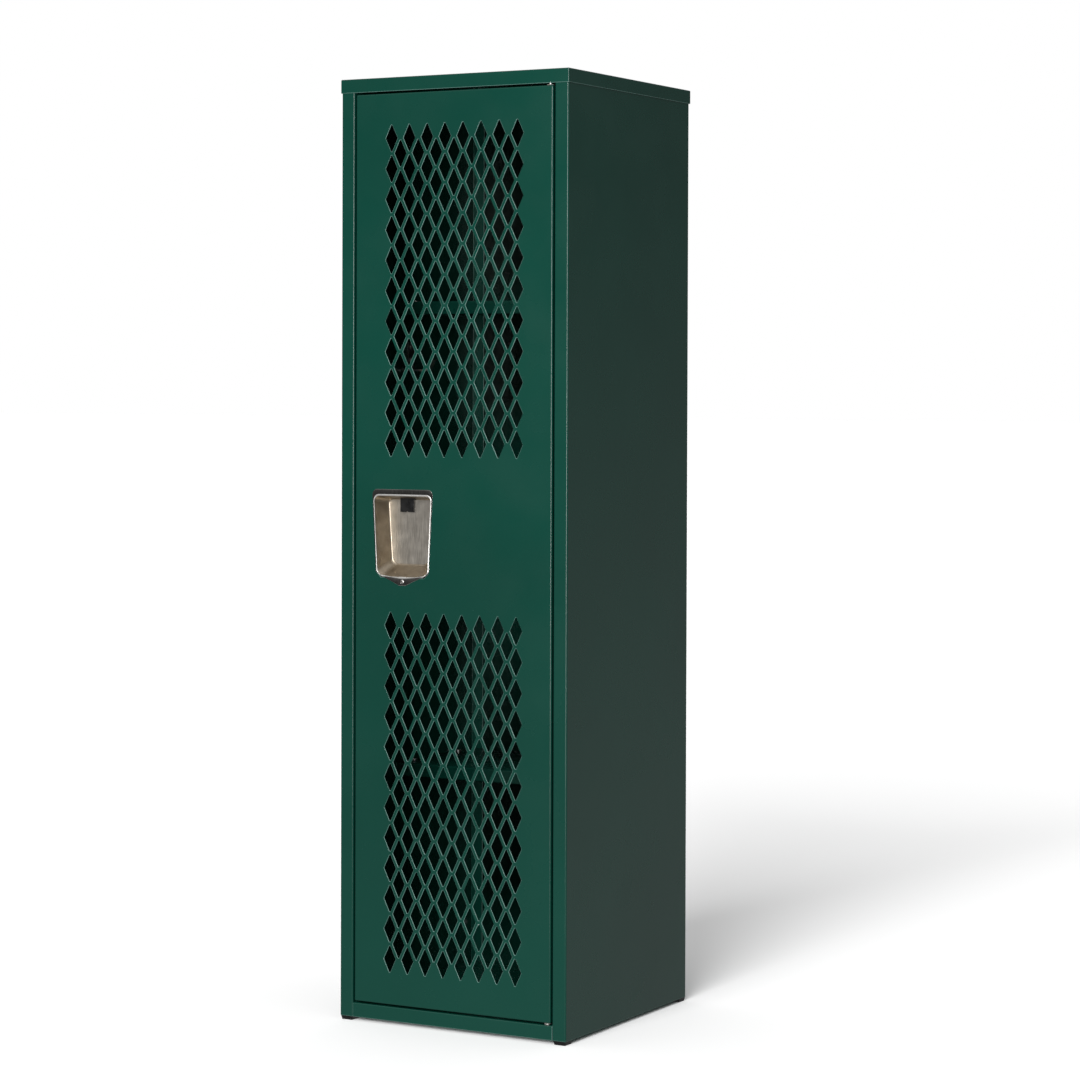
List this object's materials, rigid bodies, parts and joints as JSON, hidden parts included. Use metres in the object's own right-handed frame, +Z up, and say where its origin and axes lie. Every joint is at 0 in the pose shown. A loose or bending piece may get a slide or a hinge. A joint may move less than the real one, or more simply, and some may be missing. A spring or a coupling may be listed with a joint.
{
  "type": "school locker",
  "caption": "Single-tier ventilated steel school locker with a perforated hinged door, recessed handle cup, gravity lift latch and inner shelves.",
  "frame": {"origin": "on the floor under the middle of the locker's bounding box", "axes": "+Z up, the door faces -Y, the door's pivots are on the +X side and the latch is on the -X side"},
  "size_m": [0.381, 0.3816, 1.3776],
  "materials": {
    "green_paint": "satin powder coat, fine orange peel",
    "stainless": "drawn stainless, soft satin",
    "bright_steel": "bright plated steel",
    "zinc_steel": "clear zinc plated",
    "black_plastic": "matte moulded",
    "rubber": "matte",
    "nylon": "natural nylon"
  },
  "bodies": {
    "cabinet": {"back_panel": "green_paint", "bottom_pan": "green_paint", "coat_hook_left": "zinc_steel", "coat_hook_right": "zinc_steel", "coat_hook_screws": "zinc_steel", "foot_front_left": "black_plastic", "foot_front_right": "black_plastic", "foot_nuts": "zinc_steel", "foot_rear_left": "black_plastic", "foot_rear_right": "black_plastic", "frame_hook_bottom": "green_paint", "frame_hook_middle": "green_paint", "frame_hook_top": "green_paint", "gusset_front_left": "green_paint", "gusset_front_right": "green_paint", "gusset_rear_left": "green_paint", "gusset_rear_right": "green_paint", "head_rail": "green_paint", "pivot_bracket_bottom": "green_paint", "pivot_bracket_top": "green_paint", "pivot_pin_bottom": "bright_steel", "pivot_pin_top": "bright_steel", "shelf_lower": "green_paint", "shelf_screws": "zinc_steel", "shelf_support_lower_left": "green_paint", "shelf_support_lower_right": "green_paint", "shelf_support_upper_left": "green_paint", "shelf_support_upper_right": "green_paint", "shelf_upper": "green_paint", "side_panel_left": "green_paint", "side_panel_right": "green_paint", "silencer_bottom": "rubber", "silencer_middle": "rubber", "silencer_top": "rubber", "thrust_washer": "bright_steel", "top_lid": "green_paint"},
    "door": {"door_panel": "green_paint", "latch_channel": "green_paint", "hinge_stiffener": "green_paint", "pivot_plate_top": "green_paint", "pivot_plate_bottom": "green_paint", "pivot_bush_top": "nylon", "pivot_bush_bottom": "nylon", "recess_cup": "stainless", "cup_screw": "bright_steel", "cup_nut": "zinc_steel", "bar_guide_top": "nylon", "bar_guide_middle": "nylon", "bar_guide_bottom": "nylon"},
    "latch": {"lock_bar": "zinc_steel", "lift_bracket": "zinc_steel", "finger_lift": "black_plastic", "bracket_rivets": "zinc_steel"}
  },
  "joints": [
    {"name": "door_hinge", "type": "hinge", "parent": "cabinet", "child": "door", "pos_m": [0.1572, -0.1832, 0.69], "axis": [0, 0, 1], "range_deg": [0, 110]},
    {"name": "latch_lift", "type": "slide", "parent": "door", "child": "latch", "axis": [0, 0, 1], "range_m": [0, 0.01]}
  ]
}
